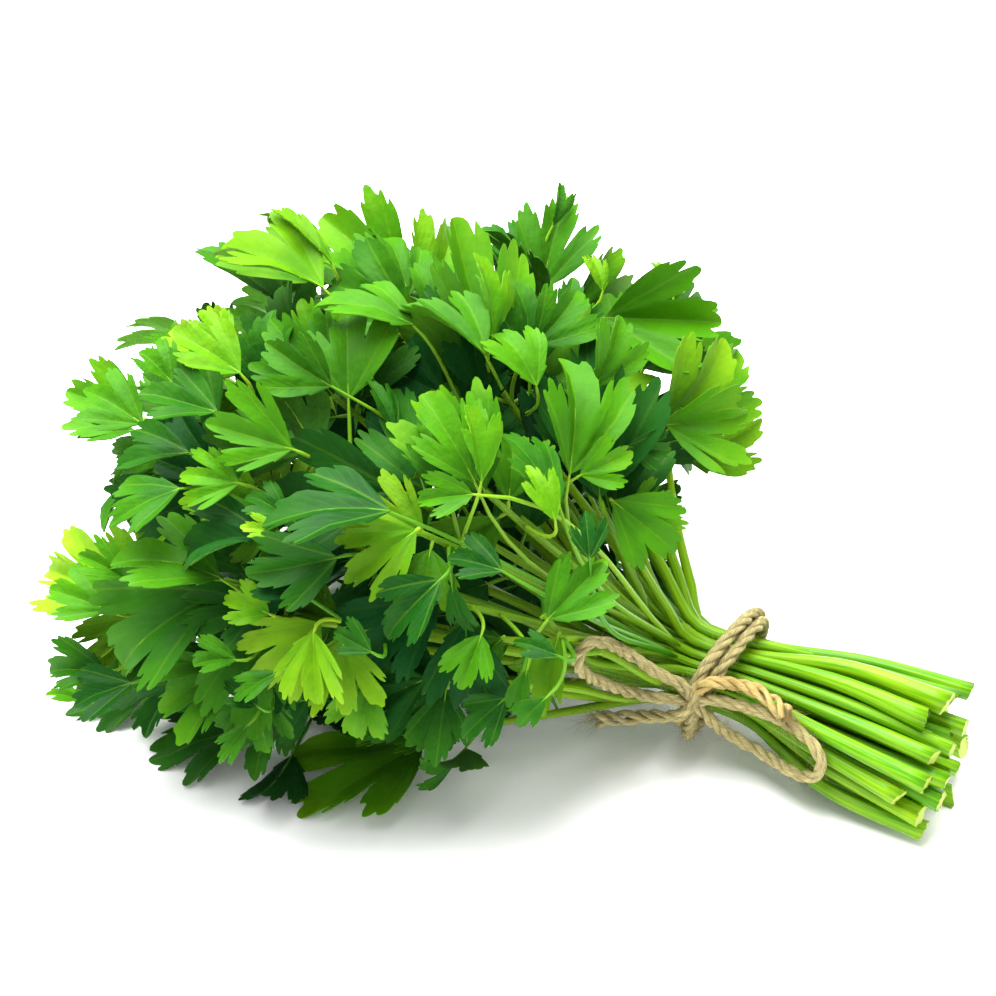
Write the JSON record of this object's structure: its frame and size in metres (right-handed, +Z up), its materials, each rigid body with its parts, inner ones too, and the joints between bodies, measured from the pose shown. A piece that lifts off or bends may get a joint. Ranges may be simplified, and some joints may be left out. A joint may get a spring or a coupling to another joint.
{
  "type": "leaf celery bunch",
  "caption": "Bunch of fresh leaf celery, lying on its side: slender leafy stalks with toothed three-lobed leaflets, tied round the stems with jute twine in a bow.",
  "frame": {"origin": "on the surface, under the middle of the bunch's box measured without the bow", "axes": "+X along the stems towards their cut ends, +Y to the back, +Z up"},
  "size_m": [0.302, 0.2176, 0.1487],
  "materials": {
    "leaf": "fresh leaf and stem, slightly glossy",
    "twine": "rough jute twine"
  },
  "bodies": {
    "root": {"stalk_01": "leaf", "stalk_02": "leaf", "stalk_03": "leaf", "stalk_04": "leaf", "stalk_05": "leaf", "stalk_06": "leaf", "stalk_07": "leaf", "stalk_08": "leaf", "stalk_09": "leaf", "stalk_10": "leaf", "stalk_11": "leaf", "stalk_12": "leaf", "stalk_13": "leaf", "stalk_14": "leaf", "stalk_15": "leaf", "stalk_16": "leaf", "stalk_17": "leaf", "stalk_18": "leaf", "stalk_19": "leaf", "stalk_20": "leaf", "stalk_21": "leaf", "stalk_22": "leaf", "stalk_23": "leaf", "stalk_24": "leaf", "stalk_25": "leaf", "stalk_26": "leaf", "stalk_27": "leaf", "stalk_28": "leaf", "stalk_29": "leaf", "stalk_30": "leaf", "stalk_31": "leaf", "stalk_32": "leaf", "stalk_33": "leaf", "stalk_34": "leaf", "stalk_35": "leaf", "stalk_36": "leaf", "stalk_37": "leaf", "stalk_38": "leaf", "stalk_39": "leaf", "stalk_40": "leaf", "stalk_41": "leaf", "stalk_42": "leaf", "stalk_43": "leaf", "stalk_44": "leaf", "stalk_45": "leaf", "stalk_46": "leaf", "stalk_47": "leaf", "twine_tie": "twine", "twine_loop_left": "twine", "twine_loop_right": "twine", "twine_tail_left": "twine", "twine_tail_right": "twine"}
  },
  "joints": []
}
